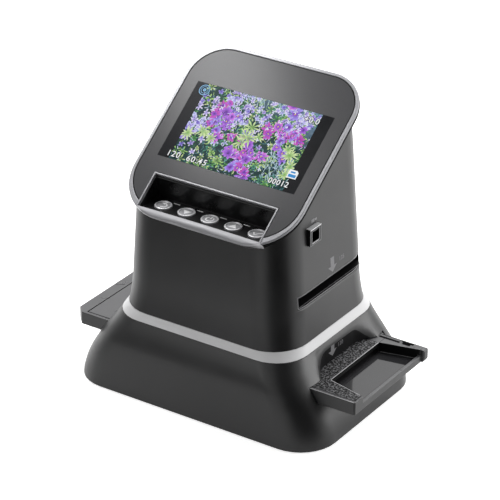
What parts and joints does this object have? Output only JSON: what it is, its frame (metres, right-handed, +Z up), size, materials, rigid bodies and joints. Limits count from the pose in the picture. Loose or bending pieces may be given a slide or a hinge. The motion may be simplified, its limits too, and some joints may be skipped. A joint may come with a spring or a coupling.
{
  "type": "film negative scanner",
  "caption": "Upright desktop film scanner with a tilted colour screen, a row of round buttons and a roll film holder that slides through its flared base.",
  "frame": {"origin": "centre of the housing's footprint, on the table", "axes": "+X to the right along the holder's slide, +Y to the back, +Z up, seen from the screen side"},
  "size_m": [0.2348, 0.1415, 0.2222],
  "materials": {
    "black_plastic": "fine satin moulding",
    "rubber": "matt",
    "steel": "zinc plated",
    "sheet_steel": "rolled sheet",
    "light_grey_plastic": "satin",
    "silver_rim": "satin silver",
    "dark_glass": "polished, dark backed",
    "screen_module": "display module",
    "gloss_black": "polished",
    "silver_button": "satin silver",
    "circuit_board": "solder mask",
    "white_board": "white solder mask",
    "white_plastic": "diffusing",
    "black_metal": "black",
    "clear_glass": "coated lens",
    "port_grey": "satin",
    "holder_plastic": "satin",
    "grained_plastic": "coarse spark-eroded grain"
  },
  "bodies": {
    "housing": {"base_skirt": "black_plastic", "bottom_cover": "black_plastic", "rubber_feet": "rubber", "bottom_screws": "steel", "ring_band": "light_grey_plastic", "neck_shell": "black_plastic", "head_frame": "black_plastic", "bezel_rim": "silver_rim", "front_glass": "dark_glass", "lcd_module": "screen_module", "lcd_bracket": "sheet_steel", "console_tub": "gloss_black", "console_trim": "silver_rim", "front_lip": "silver_rim", "button_board": "circuit_board", "holder_guide": "black_plastic", "lower_shroud": "black_plastic", "slot_guide": "black_plastic", "upper_shroud": "black_plastic", "lens_holder": "black_plastic", "lens_barrel": "black_metal", "lens_glass": "clear_glass", "sensor_board": "circuit_board", "main_board": "circuit_board", "usb_board": "circuit_board", "port_bezel": "port_grey", "backlight_board": "white_board", "light_box": "white_plastic", "diffuser": "white_plastic"},
    "holder": {"holder_frame": "holder_plastic", "holder_lid": "grained_plastic", "hinge_rod": "black_metal"},
    "button_back": {"button_back": "silver_button"},
    "button_left": {"button_left": "silver_button"},
    "button_power": {"button_power": "silver_button"},
    "button_right": {"button_right": "silver_button"},
    "button_ok": {"button_ok": "silver_button"}
  },
  "joints": [
    {"name": "holder_slide", "type": "slide", "parent": "housing", "child": "holder", "axis": [1, 0, 0], "range_m": [-0.048, 0.043]},
    {"name": "press_back", "type": "slide", "parent": "housing", "child": "button_back", "axis": [0, 0, -1], "range_m": [0, 0.0008], "stiffness_N_per_m": 1500},
    {"name": "press_left", "type": "slide", "parent": "housing", "child": "button_left", "axis": [0, 0, -1], "range_m": [0, 0.0008], "stiffness_N_per_m": 1500},
    {"name": "press_power", "type": "slide", "parent": "housing", "child": "button_power", "axis": [0, 0, -1], "range_m": [0, 0.0008], "stiffness_N_per_m": 1500},
    {"name": "press_right", "type": "slide", "parent": "housing", "child": "button_right", "axis": [0, 0, -1], "range_m": [0, 0.0008], "stiffness_N_per_m": 1500},
    {"name": "press_ok", "type": "slide", "parent": "housing", "child": "button_ok", "axis": [0, 0, -1], "range_m": [0, 0.0008], "stiffness_N_per_m": 1500}
  ]
}
